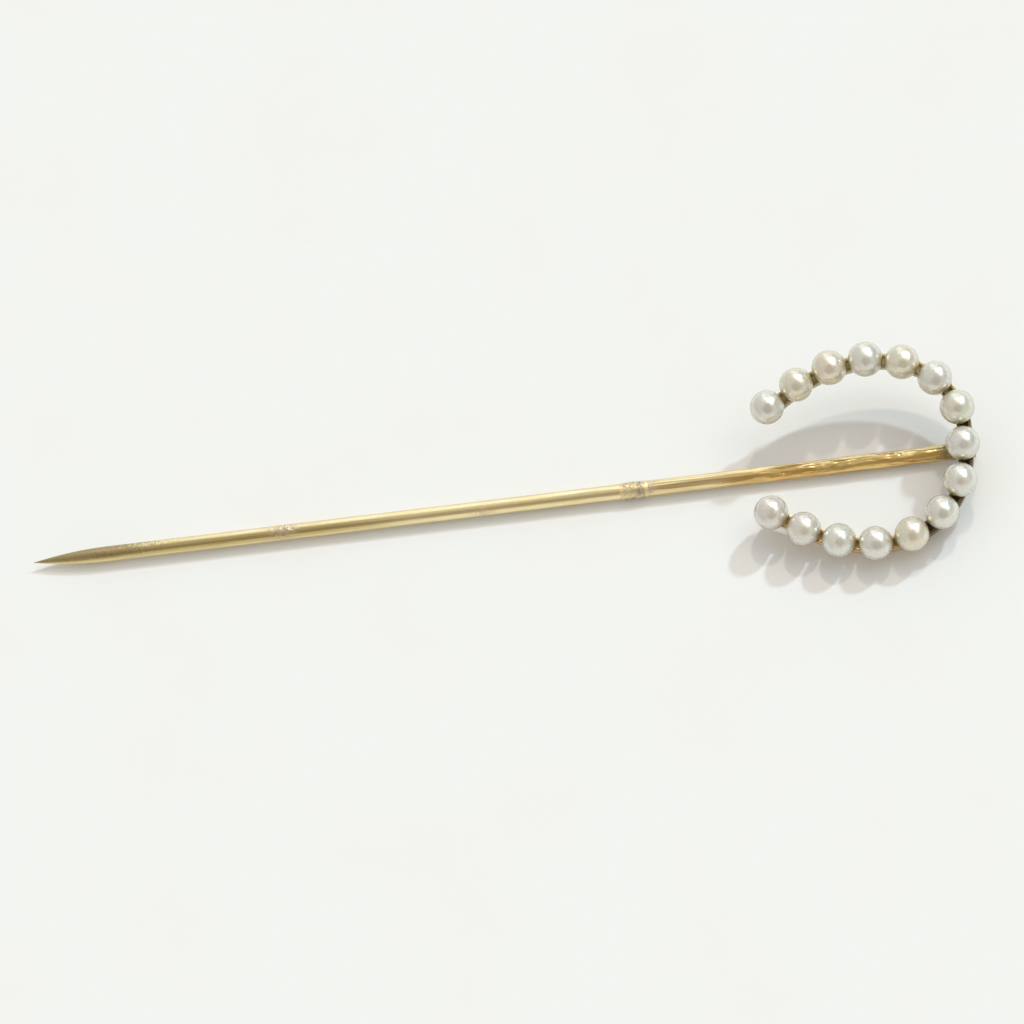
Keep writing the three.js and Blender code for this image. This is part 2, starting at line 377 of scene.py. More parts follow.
def pin_gold(name, pale, deep, worn, roughness, relief, seed):
    """Drawn gold wire: long fine lines and slow changes of tone. Where it is painted so, it is deeper gold as
    painted shade, darker as a painted reflection of the dim room, flecked with tarnish and painted shade, or
    carries a crust or verdigris."""
    s = Shader(name)
    lines = s.noise((3.2, 0.05, 0.05), detail=5, seed=seed)
    cloud = s.noise((2.4, 0.5, 0.5), detail=3, seed=seed + 1)
    specks = s.noise((0.09, 0.07, 0.07), detail=4, roughness=0.7, seed=seed + 2)
    grains = s.noise((0.16, 0.13, 0.13), detail=3, roughness=0.65, seed=seed + 3)
    clouded = s.step(cloud, 0.35, 0.68)
    # Painted shade: deeper gold where it is painted
    head_shade = s.mix(clouded, SHADED_GOLD, SHADED_DEEP_GOLD)
    colour = s.mix(s.painted("head_shade"), s.mix(clouded, pale, deep), head_shade)
    # Painted reflection: darker where the wire mirrors the dim room
    colour = s.mix(s.painted("dark_reflection"), colour, DARK_REFLECTION_GOLD)
    scratch = s.step(lines, 0.56, 0.74)
    colour = s.mix(s.math("MULTIPLY", scratch, 0.5), colour, worn)
    # Tarnish and painted shade, in flecks
    flecks = s.noise((0.20, 0.07, 0.07), detail=4, roughness=0.7, seed=seed + 4)
    spread = s.math("SUBTRACT", 0.85, s.painted("tarnish_and_shade"))
    tarnish_and_shade = s.step(flecks, spread, s.math("ADD", spread, 0.14))
    mottled = s.mix(s.step(specks, 0.4, 0.6), TARNISH_AND_SHADE, OLD_TARNISH_AND_SHADE)
    colour = s.mix(s.math("MULTIPLY", tarnish_and_shade, 0.9), colour, mottled)
    crust = s.math("MULTIPLY", s.painted("deposit"), s.step(grains, 0.42, 0.52))
    crumbs = s.mix(s.step(specks, 0.40, 0.62), DARK_CRUMBS, PALE_CRUMBS)
    colour = s.mix(crust, colour, crumbs)
    verdigris = s.math("MULTIPLY", s.painted("verdigris"), s.step(specks, 0.35, 0.6))
    colour = s.mix(verdigris, colour, VERDIGRIS)
    dull = s.math("MAXIMUM", crust, verdigris)
    gloss = s.step(cloud, 0.3, 0.7, roughness - 0.04, roughness + 0.08)
    gloss = s.math("ADD", gloss, s.math("MULTIPLY", tarnish_and_shade, 0.2))
    gloss = s.math("ADD", gloss, s.math("MULTIPLY", dull, 0.35))
    normal = s.bump(lines, relief)
    normal = s.bump(specks, 0.004, normal)
    return s.finish(
        Base_Color=colour,
        Metallic=s.math("SUBTRACT", 1.0, s.math("MULTIPLY", dull, 0.6)),
        Roughness=gloss,
        Normal=normal,
    )


def head_gold(name, seed):
    """Satin yellow gold: darker and reddish in its recesses with grime and painted shade, olive with tarnish,
    and nearly black with tarnish and painted shade, where painted.
    """
    s = Shader(name)
    cloud = s.noise((0.9, 0.9, 0.9), detail=3, seed=seed)
    specks = s.noise((0.06, 0.06, 0.06), detail=5, roughness=0.65, seed=seed + 1)
    blotch = s.noise((0.22, 0.22, 0.22), detail=4, roughness=0.6, seed=seed + 3)
    colour = s.mix(s.step(cloud, 0.35, 0.65), SATIN_GOLD, DEEP_SATIN_GOLD)
    # Grime and painted shade: recesses darken to reddish brown
    grime_and_shade = s.math("MULTIPLY", s.painted("recess"), s.step(specks, 0.22, 0.62, 0.6, 1.0))
    colour = s.mix(s.math("MULTIPLY", grime_and_shade, 0.6), colour, GRIME_AND_SHADE)
    olive = s.math("MULTIPLY", s.painted("olive"), s.step(blotch, 0.25, 0.6, 0.55, 1.0))
    colour = s.mix(olive, colour, OLIVE_FILM)
    # Tarnish and painted shade: nearly black where painted
    tarnish_and_shade = s.math("MULTIPLY", s.painted("tarnish_and_shade"), s.step(blotch, 0.2, 0.55, 0.6, 1.0))
    colour = s.mix(tarnish_and_shade, colour, BLACK_TARNISH_AND_SHADE)
    dirt_and_shade = s.math("MAXIMUM", s.math("MAXIMUM", grime_and_shade, tarnish_and_shade), s.math("MULTIPLY", olive, 0.6))
    fine = s.noise((0.03, 0.03, 0.03), detail=3, seed=seed + 2)
    normal = s.bump(fine, 0.003)
    normal = s.bump(specks, 0.008, normal)
    return s.finish(
        Base_Color=colour,
        Metallic=s.math("SUBTRACT", 1.0, s.math("MULTIPLY", dirt_and_shade, 0.5)),
        Roughness=s.math("ADD", s.step(cloud, 0.3, 0.7, 0.26, 0.38), s.math("MULTIPLY", dirt_and_shade, 0.3)),
        Normal=normal,
    )


def solder_metal():
    """Dull pinkish solder over gold, in ragged patches, nearly black in the pits. Its ends are
    feathered out over the gold."""
    s = Shader("repair_solder")
    patch = s.noise((0.42, 0.30, 0.30), detail=4, roughness=0.6, seed=31)
    specks = s.noise((0.07, 0.06, 0.06), detail=4, roughness=0.7, seed=32)
    blotch = s.noise((0.2, 0.16, 0.16), detail=3, seed=33)
    solder = s.mix(s.step(blotch, 0.4, 0.6), SOLDER, DARK_SOLDER)
    colour = s.mix(s.step(patch, 0.47, 0.55), solder, BARE_GOLD)
    colour = s.mix(s.math("MULTIPLY", s.step(specks, 0.52, 0.66), 0.45), colour, SOLDER_SPECKS)
    ragged = s.math("ADD", s.painted("feather"), s.math("MULTIPLY", blotch, 0.5))
    colour = s.mix(s.step(ragged, 0.6, 0.9), colour, FEATHERED_GOLD)
    # Nearly black in the pits
    pits = s.math("MULTIPLY", s.painted("pit"), s.step(specks, 0.3, 0.5))
    colour = s.mix(pits, colour, PIT_BLACK)
    normal = s.bump(specks, 0.02)
    normal = s.bump(patch, 0.05, normal)
    return s.finish(
        Base_Color=colour,
        Metallic=s.step(pits, 0.0, 1.0, 0.85, 0.2),
        Roughness=s.step(patch, 0.48, 0.58, 0.46, 0.28),
        Normal=normal,
    )


def nacre(number, tone, blush, roughness):
    """One pearl: satin nacre in its own tone, with broad clouds of a second, and a golden tint round its seat
    and towards its neighbours, a stain with painted gold reflection.
    """
    s = Shader(node_name("nacre", number))
    cloud = s.noise((0.9, 0.9, 0.7), detail=2, seed=number * 3)
    bands = s.noise((2.8, 2.8, 0.22), detail=2, seed=number * 3 + 1)
    grain = s.noise((0.11, 0.11, 0.11), detail=3, seed=number * 3 + 2)
    colour = s.mix(s.step(cloud, 0.40, 0.64), tone, blush)
    darker = tuple(0.86 * c for c in tone)
    colour = s.mix(s.math("MULTIPLY", s.step(bands, 0.42, 0.70), 0.35), colour, darker)
    # A stain with painted gold reflection round the seat and towards the neighbours
    colour = s.mix(s.painted("seat"), colour, STAIN_AND_GOLD_REFLECTION)
    normal = s.bump(cloud, 0.06)
    normal = s.bump(bands, 0.003, normal)
    normal = s.bump(grain, 0.0007, normal)
    gloss = s.step(cloud, 0.3, 0.7, roughness - 0.04, roughness + 0.06)
    return s.finish(
        Base_Color=colour,
        Metallic=0.66,
        Roughness=gloss,
        Normal=normal,
        Specular_IOR_Level=0.4,
        Specular_Tint=(0.75, 0.75, 0.72, 1),
        Subsurface_Weight=0.8,
        Subsurface_Radius=(1.0, 0.9, 0.75),
        Subsurface_Scale=1.1 * MM,
        Coat_Weight=0.22,
        Coat_Roughness=0.2,
        Coat_IOR=1.55,
    )


# ---------------------------------------------------------------- pearls, cups and pegs

# The tone and the blush of each kind of pearl
CREAM = ((0.80, 0.765, 0.645), (0.82, 0.745, 0.635))
SILVER = ((0.78, 0.775, 0.715), (0.80, 0.76, 0.69))
COOL = ((0.77, 0.78, 0.725), (0.81, 0.78, 0.72))
PINK = ((0.805, 0.745, 0.665), (0.765, 0.78, 0.68))
LILAC = ((0.785, 0.74, 0.715), (0.805, 0.775, 0.685))
# The colour of the stain with painted gold reflection at the foot of each pearl
STAIN_AND_GOLD_REFLECTION = (0.54, 0.46, 0.24)

# How strong the golden tint is round a pearl's cup, a stain with painted gold reflection, and where it nearly
# meets its neighbours, a painted reflection of the gold between them
CUP_STAIN_AND_REFLECTION = 0.85
NEIGHBOUR_REFLECTION = 0.55
NACRE_ROUGHNESS = 0.24

# Counted from the far arm's end: the pearls' tones, and the width of each as a share of the usual one
PEARL_TONES = [
    SILVER, CREAM, CREAM, SILVER, CREAM, SILVER, PINK, COOL, COOL, COOL, CREAM, SILVER, COOL, LILAC, LILAC,
]
PEARL_GIRTH = [1.0, 0.99, 1.02, 1.02, 1.01, 1.0, 1.01, 0.99, 0.99, 1.0, 1.01, 1.0, 1.0, 1.0, 1.0]

# Natural pearls are never quite round. They are left round below, where they sit in their cups.
LUMP_HEIGHT = 0.024
LUMP_GRAIN = 1.3
ROUND_BELOW, FREE_ABOVE = -0.75, 0.1

# Dents, by pearl: where on the pearl, how wide and how deep
DENTS = {
    5: [((0.10, 0.15, 0.95), 0.30, 0.016), ((0.15, -0.2, 0.95), 0.25, 0.014)],
    6: [((-0.15, -0.05, 0.98), 0.42, 0.05), ((0.2, -0.45, 0.85), 0.35, 0.03)],
    15: [((-0.18, -0.05, 0.98), 0.30, 0.03), ((0.05, -0.12, 0.98), 0.22, 0.012)],
}


def pearl_rings(number):
    """A lumpy ball from the top of its drilled hole, out over its lower rim and up to its summit."""
    sides, steps = 72, 44
    rim = math.asin(DRILL_RADIUS / PEARL_RADIUS)
    rim_height = -math.sqrt(PEARL_RADIUS**2 - DRILL_RADIUS**2)
    hole = [(DRILL_RADIUS * 0.5, DRILL_TOP), (DRILL_RADIUS, DRILL_TOP), (DRILL_RADIUS, rim_height * 0.5)]
    nearly_top = math.pi - math.radians(2)
    angles = np.linspace(rim, nearly_top, steps)
    skin = [(PEARL_RADIUS * math.sin(a), -PEARL_RADIUS * math.cos(a)) for a in angles]
    rings = lathe(hole + skin, sides)
    outer = rings[len(hole):]
    way_out = outer / PEARL_RADIUS
    free = smoothstep(outer[..., 2], ROUND_BELOW, FREE_ABOVE)
    growth = (PEARL_GIRTH[number - 1] - 1) * PEARL_RADIUS * free
    growth += LUMP_HEIGHT * rough(outer, LUMP_GRAIN, number) * free
    for place, width, depth in DENTS.get(number, []):
        dent = np.array(place) / np.linalg.norm(place)
        away = np.linalg.norm(way_out - dent, axis=-1)
        growth -= depth * np.exp(-((away / width) ** 2)) * free
    rings[len(hole):] += way_out * growth[..., None]
    return rings


def stain_and_reflection(rings, number):
    """How strong the golden tint is: round its cup, a stain with painted gold reflection, and less where it
    nearly meets its neighbours, a painted gold reflection.
    """
    tint = CUP_STAIN_AND_REFLECTION * smoothstep(rings[..., 2], -0.25, CUP_RIM)
    for beside in (number - 2, number):
        if 0 <= beside < PEARLS:
            towards = CENTRES[beside] - CENTRES[number - 1]
            facing = rings @ towards / np.linalg.norm(towards) / PEARL_RADIUS
            tint = np.maximum(tint, NEIGHBOUR_REFLECTION * smoothstep(facing, 0.74, 0.98))
    return tint


def cup_rings():
    """A thin dish under the pearl, its rim rounded over, with a hole for the peg."""
    sides, steps = 64, 14
    middle = (CUP_INNER + CUP_OUTER) / 2
    half = CUP_THICKNESS / 2
    hole = PEG_RADIUS + FILM
    low_inner, low_outer = math.asin(hole / CUP_INNER), math.asin(hole / CUP_OUTER)
    top = math.acos(-CUP_RIM / CUP_OUTER)
    rounding = half / middle
    inner = [(CUP_INNER, a) for a in np.linspace(low_inner, top - rounding, steps)]
    lip = [
        (middle - half * math.cos(t), top - rounding + rounding * math.sin(t))
        for t in np.linspace(0, math.pi, 9)[1:-1]
    ]
    outer = [(CUP_OUTER, a) for a in np.linspace(top - rounding, low_outer, steps)]
    profile = [(r * math.sin(a), -r * math.cos(a)) for r, a in inner + lip + outer]
    return lathe(profile, sides)


def peg_rings(number):
    """A wire peg whose upper end is eased, and whose lower end is filed nearly flush, slightly domed."""
    sides, dome = 32, 0.02
    bottom = GALLERY_BACK - PEG_PROUD
    lower = [
        (PEG_RADIUS * math.sin(t), bottom + dome * (1 - math.cos(t)))
        for t in (0.5, 0.9, 1.25, 1.57)
    ]
    upper = [
        (PEG_RADIUS - PEG_EASING + PEG_EASING * math.cos(t), PEG_TOP - PEG_EASING + PEG_EASING * math.sin(t))
        for t in np.linspace(0, math.pi / 2, 6)
    ]
    rings = lathe(lower + upper, sides)
    rings[..., :2] *= 1 + 0.03 * rough(rings, 0.3, 40 + number)[..., None]
    return rings


def build_settings(cup_finish):
    """Every pearl with its cup and its peg."""
    for number, centre in enumerate(CENTRES, start=1):
        finish = nacre(number, *PEARL_TONES[number - 1], NACRE_ROUGHNESS)
        skin = pearl_rings(number)
        pearl = make_mesh(node_name("pearl", number), skin)
        paint(pearl, "seat", stain_and_reflection(skin, number))
        add_piece(node_name("pearl", number), pearl, finish, centre)
        cup = make_mesh(node_name("cup", number), cup_rings(), closed=True)
        cup_points = np.array([v.co for v in cup.vertices]) / MM
        paint(cup, "recess", 0.7 * rough(cup_points, 0.5, number) + 0.4)
        add_piece(node_name("cup", number), cup, cup_finish, centre)
        peg = make_mesh(node_name("peg", number), peg_rings(number))
        add_piece(node_name("peg", number), peg, cup_finish, centre, crease=40)


# ---------------------------------------------------------------- gallery


def catmull_rom(points, per_span):
    """A centripetal Catmull-Rom curve through points in the plane, as the CAD model's gallery follows."""
    ghosted = [2 * points[0] - points[1], *points, 2 * points[-1] - points[-2]]
    curve = []
    for a, b, c, d in zip(ghosted, ghosted[1:], ghosted[2:], ghosted[3:]):
        spans = [np.linalg.norm(q - p) ** 0.5 for p, q in ((a, b), (b, c), (c, d))]
        first = (b - a) / spans[0] - (c - a) / (spans[0] + spans[1]) + (c - b) / spans[1]
        last = (c - b) / spans[1] - (d - b) / (spans[1] + spans[2]) + (d - c) / spans[2]
        start, end = first * spans[1], last * spans[1]
        for t in np.arange(per_span) / per_span:
            curve.append(
                (2 * t**3 - 3 * t**2 + 1) * b
                + (t**3 - 2 * t**2 + t) * start
                + (3 * t**2 - 2 * t**3) * c
                + (t**3 - t**2) * end
            )
    return np.array(curve + [points[-1]])


def gallery_path():
    """The middle of the gallery in the plane, from the far arm's end round to the near arm's."""
    points = [centre[:2] + np.array([GALLERY_TOWARDS_CROWN, 0]) for centre in CENTRES]
    first = points[0] - points[1]
    last = points[-1] - points[-2]
    start = points[0] + first / np.linalg.norm(first) * GALLERY_OVERHANG
    end = points[-1] + last / np.linalg.norm(last) * GALLERY_OVERHANG
    return catmull_rom([start, *points, end], per_span=48)


def rounded(corners, radii, steps=6):
    """An outline with its corners rounded, each by its own radius."""
    outline = []
    for i, (corner, radius) in enumerate(zip(corners, radii)):
        before = corners[i - 1] - corner
        after = corners[(i + 1) % len(corners)] - corner
        start = corner + before / np.linalg.norm(before) * radius
        end = corner + after / np.linalg.norm(after) * radius
        for t in np.linspace(0, 1, steps):
            outline.append((1 - t) ** 2 * start + 2 * t * (1 - t) * corner + t**2 * end)
    return np.array(outline)


def fill_in(outline, longest):
    """Adds points to an outline so that none are further apart than longest."""
    points = []
    for a, b in zip(outline, np.roll(outline, -1, axis=0)):
        count = max(1, math.ceil(np.linalg.norm(b - a) / longest))
        points += [a + (b - a) * k / count for k in range(count)]
    return np.array(points)


def gallery_section():
    """The channel's outline, as across and height, from the outer rail over the groove and round the back."""
    half, groove = GALLERY_WIDTH / 2, GROOVE_WIDTH / 2
    back_half = half - GALLERY_CHAMFER
    corners = [
        (-half, GALLERY_TOP), (-groove, GALLERY_TOP), (-groove, GROOVE_FLOOR), (groove, GROOVE_FLOOR),
        (groove, GALLERY_TOP), (half, GALLERY_TOP), (half, GALLERY_BACK + GALLERY_CHAMFER),
        (back_half, GALLERY_BACK), (-back_half, GALLERY_BACK), (-half, GALLERY_BACK + GALLERY_CHAMFER),
    ]
    radii = [0.07, 0.06, 0.08, 0.08, 0.06, 0.07, 0.04, 0.04, 0.04, 0.04]
    return fill_in(rounded([np.array(c) for c in corners], radii), longest=0.06)


def soft_minimum(a, b, blend):
    """The lower of two heights, with the crease where they meet rounded."""
    share = np.clip(0.5 + 0.5 * (b - a) / blend, 0, 1)
    return b + (a - b) * share - blend * share * (1 - share)


def seat_height(plan):
    """Height of the spherical seats above each point of the plane, measured from the pearls' centres."""
    height = np.full(plan.shape[:-1], 1.0)
    for centre in CENTRES:
        away = ((plan - centre[:2]) ** 2).sum(axis=-1)
        inside = np.clip(SEAT_RADIUS**2 - away, 0, None)
        height = np.minimum(height, np.where(inside > 0, -np.sqrt(inside), 1.0))
    return height


# Shares of the way along the row between which the far arm's look fades out, and the crown's in and out
FAR_ARM_FADES = (0.44, 0.28)
CROWN_DARKENS = (0.34, 0.44)
CROWN_LIGHTENS = (0.76, 0.68)


def far_arm(along):
    """1 along the far arm, going to 0 before the crown."""
    return smoothstep(along / along[-1], *FAR_ARM_FADES)


def peg_rims(plan):
    """1 round the edge of each peg, where grime gathers on the gallery's back."""
    width = 0.05
    rims = np.zeros(plan.shape[:-1])
    for centre in CENTRES:
        away = np.linalg.norm(plan - centre[:2], axis=-1) - PEG_RADIUS
        rims = np.maximum(rims, np.exp(-((away / width) ** 2)))
    return rims


def above_back(section):
    """Which points of the section are clear of the gallery's back."""
    return section[:, 1] > GALLERY_BACK + 0.2


def groove_share(section):
    """1 on the floor and the walls of the groove, and 0 on the rails and the back."""
    inside = smoothstep(np.abs(section[:, 0]), GROOVE_WIDTH / 2 + 0.05, GROOVE_WIDTH / 2 - 0.02)
    deep = smoothstep(GALLERY_TOP - section[:, 1], 0.03, 0.12)
    return inside * deep * above_back(section)


def gallery_rings():
    """The channel swept along the row of pearls, sunk into a round seat under each, and eased at both ends.
    Also how much each point lies in a recess, from 0 to 1, and how far along the row each ring is."""
    path = gallery_path()
    tangent = np.gradient(path, axis=0)
    tangent /= np.linalg.norm(tangent, axis=1)[:, None]
    across = np.stack([-tangent[:, 1], tangent[:, 0]], axis=1)
    section = gallery_section()
    along = np.concatenate([[0], np.cumsum(np.linalg.norm(np.diff(path, axis=0), axis=1))])
    from_end = np.minimum(along, along[-1] - along)
    eased = np.sqrt(np.clip(1 - (1 - np.clip(from_end / GALLERY_EASING, 0, 1)) ** 2, 0.0, 1))
    inset = 1 - (1 - eased) * GALLERY_EASING / (GALLERY_WIDTH / 2)
    plan = path[:, None, :] + across[:, None, :] * (section[None, :, :1] * inset[:, None, None])
    middle = (GALLERY_TOP + GALLERY_BACK) / 2
    height = middle + (section[:, 1] - middle)[None, :] * inset[:, None]
    floor = groove_share(section)
    height = height + FAR_ARM_FILL * far_arm(along)[:, None] * floor[None, :]
    seats = seat_height(plan)
    sunk = soft_minimum(height, seats, blend=0.05)
    rings = np.dstack([plan, sunk])
    groove = floor[None, :] * np.ones((len(path), 1))
    seated = smoothstep(height - seats, -0.02, 0.06) * above_back(section)[None, :]
    rim = peg_rims(plan) * (section[:, 1] < GALLERY_BACK + 0.05)[None, :]
    return rings, np.maximum(np.maximum(groove, seated), rim), along


def build_gallery(finish):
    """Olive on the far arm, nearly black round the crown with tarnish and painted shade, and golden on the
    near arm, with grime and painted shade in the recesses.
    """
    rings, recess, along = gallery_rings()
    share = (along / along[-1])[:, None] * np.ones_like(recess)
    mesh = make_mesh("gallery", rings)
    far = far_arm(along)[:, None]
    # Grime and painted shade along the groove and the seats, with grime round the pegs
    paint(mesh, "recess", recess * (1 - 0.7 * far))
    paint(mesh, "olive", (0.78 + 0.1 * recess) * far)
    # Tarnish and painted shade: nearly black round the crown
    round_crown = smoothstep(share, *CROWN_DARKENS) * smoothstep(share, *CROWN_LIGHTENS)
    paint(mesh, "tarnish_and_shade", (0.78 + 0.2 * recess) * round_crown)
    join_meeting_points(mesh)
    add_piece("gallery", mesh, finish, (0, 0, PLANE))


# ---------------------------------------------------------------- pin


def round_stations(stations, radii, sides):
    """Rings round the X axis."""
    turn = np.arange(sides) * math.tau / sides
    rings = np.zeros((len(stations), sides, 3))
    rings[..., 0] = np.asarray(stations)[:, None]
    rings[..., 1] = np.asarray(radii)[:, None] * np.cos(turn)
    rings[..., 2] = np.asarray(radii)[:, None] * np.sin(turn)
    return rings


def swell(rings, amount):
    """Moves each point outwards from the X axis by an amount in millimetres, in place."""
    reach = np.maximum(np.linalg.norm(rings[..., 1:], axis=-1), 1e-4)
    rings[..., 1:] *= (1 + amount / reach)[..., None]


def turned_from(rings, bearing):
    """How far round the wire each point lies from a bearing. Bearings are degrees from +Y towards +Z."""
    facing = np.degrees(np.arctan2(rings[..., 2], rings[..., 1]))
    return (facing - bearing + 180) % 360 - 180


def spot(rings, along, bearing, length, width):
    """A soft spot on the wire, from 0 to 1, with its length in millimetres and its width in degrees."""
    turned = turned_from(rings, bearing)
    return np.exp(-(((rings[..., 0] - along) / length) ** 2) - (turned / width) ** 2)


def side(rings, bearing, reach, fade):
    """1 on the side of the wire that faces a bearing, and 0 beyond its reach and its fade, in degrees."""
    return smoothstep(np.abs(turned_from(rings, bearing)), reach + fade, reach)


def roughen(rings, texture, where):
    """Swells the wire by each noise of a texture: its height, its grain along each axis and its seed."""
    for height, grain, seed in texture:
        swell(rings, height * rough(rings, grain, seed) * where)


# The point is faintly flat in places from drawing and filing. The shank has deep grooves next to the repair,
# and is hammered further up. The solder is lumpy.
FILED = [(0.007, (6, 0.35, 0.35), 3), (0.003, (3, 0.1, 0.1), 4)]
GROOVED = [(0.030, (4, 0.11, 0.11), 6)]
HAMMERED = [(0.036, (3.2, 0.34, 0.34), 8), (0.024, (1.1, 0.16, 0.16), 10), (0.013, (0.5, 0.2, 0.2), 9)]
SOLDERED = [(0.030, (0.34, 0.3, 0.3), 61), (0.014, (0.11, 0.11, 0.11), 62)]

# Single hammer marks: how far along the shank from the repair, and the bearing each faces
HAMMER_MARKS = [(12.2, 76), (12.9, 88), (13.7, 78), (14.6, 84), (17.2, 86), (17.9, 76), (18.7, 88)]
HAMMER_MARK_DEPTH = 0.055
HAMMER_MARK_SIZE = (0.36, 28)

# Spots on the wire: how far along its length, the bearing each faces, its length and its width
CRUST = (17.6, 70, 0.9, 60)
FAINT_CRUST = (31.2, 150, 0.6, 45)
REPAIR_CRUST = (0.9, 90, 0.5, 70)
PITS = [(-0.62, -115, 0.28, 32), (0.75, -110, 0.14, 18)]
SEAM, SEAM_WIDTH = 0.36, 0.07

# Sides of the wire: the bearing each faces, its reach and its fade
UPPER_SIDE = (50, 72, 22)
# Painted reflection: the side of the point that mirrors the dim room at the viewer is painted darker
DARK_REFLECTION_SIDE = (112, 26, 22)
# Painted highlight: the shank's upper edge is kept out of the painted shade, so that it stays pale
PAINTED_HIGHLIGHT_EDGE = (46, 14, 14)


def pin_point_rings():
    """An ogive point, then round wire. X is from the point."""
    sides = 72
    length = point_high[0] - TIP_X
    taper = np.linspace(0.04, 1, 60) ** 1.4
    stations = [POINT_TAPER * t for t in taper]
    radii = [PIN_RADIUS * (1 - (1 - t) ** 2) ** POINT_FULLNESS for t in taper]
    plain = np.arange(POINT_TAPER + 0.1, length, 0.1)
    stations += [*plain, length - WIRE_END_EASING, length]
    radii += [PIN_RADIUS] * (len(plain) + 1) + [PIN_RADIUS - WIRE_END_EASING]
    rings = round_stations(stations, radii, sides)
    roughen(rings, FILED, smoothstep(rings[..., 0], 0.2, 3))
    return rings


def pin_shank_rings():
    """Round wire, grooved and hammered, whose end spreads to a flat paddle. X is from the repair."""
    sides = 88
    length = shank_high[0] - REPAIR_X
    crown = CROWN[0] - REPAIR_X
    start = shank_low[0] - REPAIR_X
    plain = np.arange(start + 0.1, length - PADDLE_ROUNDING, 0.07)
    easing = np.linspace(0, math.pi / 2, 8)
    ends = length - PADDLE_ROUNDING + PADDLE_ROUNDING * np.sin(easing)
    stations = [start, start + WIRE_END_EASING, *plain, *ends]
    radii = [PIN_RADIUS - WIRE_END_EASING, *[PIN_RADIUS] * (len(plain) + 1)]
    radii += list(PIN_RADIUS - PADDLE_ROUNDING * (1 - np.cos(easing)))
    rings = round_stations(stations, radii, sides)
    grooved = smoothstep(rings[..., 0], 0.6, 1.4) * (1 - smoothstep(rings[..., 0], 6.5, 8.5))
    roughen(rings, GROOVED, grooved)
    roughen(rings, HAMMERED, smoothstep(rings[..., 0], 7, 9))
    for along, bearing in HAMMER_MARKS:
        swell(rings, -HAMMER_MARK_DEPTH * spot(rings, along, bearing, *HAMMER_MARK_SIZE))
    flat = smoothstep(rings[..., 0], crown - PADDLE_FROM, crown - BLOCK_FOOT)
    rings[..., 1] *= 1 + (PADDLE_WIDER - 1) * flat
    rings[..., 2] *= 1 + (PADDLE_THINNER - 1) * flat
    return rings


def build_point():
    """The length of wire from the tip to the repair, with the crust on it, tarnish and painted shade towards
    the tip, and a painted dark reflection along its middle.
    """
    finish = pin_gold("pin_gold", **POINT_GOLD)
    rings = pin_point_rings()
    crust = spot(rings, *CRUST) + 0.45 * spot(rings, *FAINT_CRUST)
    swell(rings, 0.05 * crust * np.clip(rough(rings, 0.16, 14) + 0.25, 0, 1))
    mesh = make_mesh("pin_point", rings)
    paint(mesh, "deposit", np.clip(crust, 0, 1))
    along = rings[..., 0]
    # Tarnish and painted shade on the upper side towards the tip, where the highlight is missing
    tip_darkening = 0.48 * smoothstep(along, 18, 5) + 0.3 * smoothstep(along, 8, 2)
    paint(mesh, "tarnish_and_shade", side(rings, *UPPER_SIDE) * tip_darkening)
    # Painted reflection: a darker band along the middle of the point
    dark_band = side(rings, *DARK_REFLECTION_SIDE) * smoothstep(along, 28, 20)
    paint(mesh, "dark_reflection", 0.9 * dark_band)
    add_piece("pin_point", mesh, finish, (TIP_X, PIN_AXIS[1], PIN_AXIS[2]))


def build_shank():
    """The length of wire from the repair to the paddle: deeper gold beyond the grooves as painted shade,
    with a painted highlight left along its upper edge, tarnish and painted shade towards the crown, and some
    verdigris.
    """
    finish = pin_gold("pin_gold_rear", **SHANK_GOLD)
    rings = pin_shank_rings()
    crown = CROWN[0] - REPAIR_X
    mesh = make_mesh("pin_shank", rings)
    along = rings[..., 0]
    # Painted shade: deeper gold beyond the grooves, where the wire mirrors the table in the head's shadow.
    # Its upper edge is left pale as a painted highlight.
    head_shade = smoothstep(along, 4.5, 8.5) * (1 - 0.9 * side(rings, *PAINTED_HIGHLIGHT_EDGE))
    paint(mesh, "head_shade", head_shade)
    paint(mesh, "verdigris", np.clip(spot(rings, crown - 1.25, 100, 0.5, 50), 0, 1))
    # Tarnish and painted shade: darker towards the crown, under the head
    paint(mesh, "tarnish_and_shade", 0.12 + 0.4 * smoothstep(along, crown - 2.6, crown - 0.6))
    paint(mesh, "deposit", np.clip(spot(rings, *REPAIR_CRUST), 0, 1))
    add_piece("pin_shank", mesh, finish, (REPAIR_X, PIN_AXIS[1], PIN_AXIS[2]))


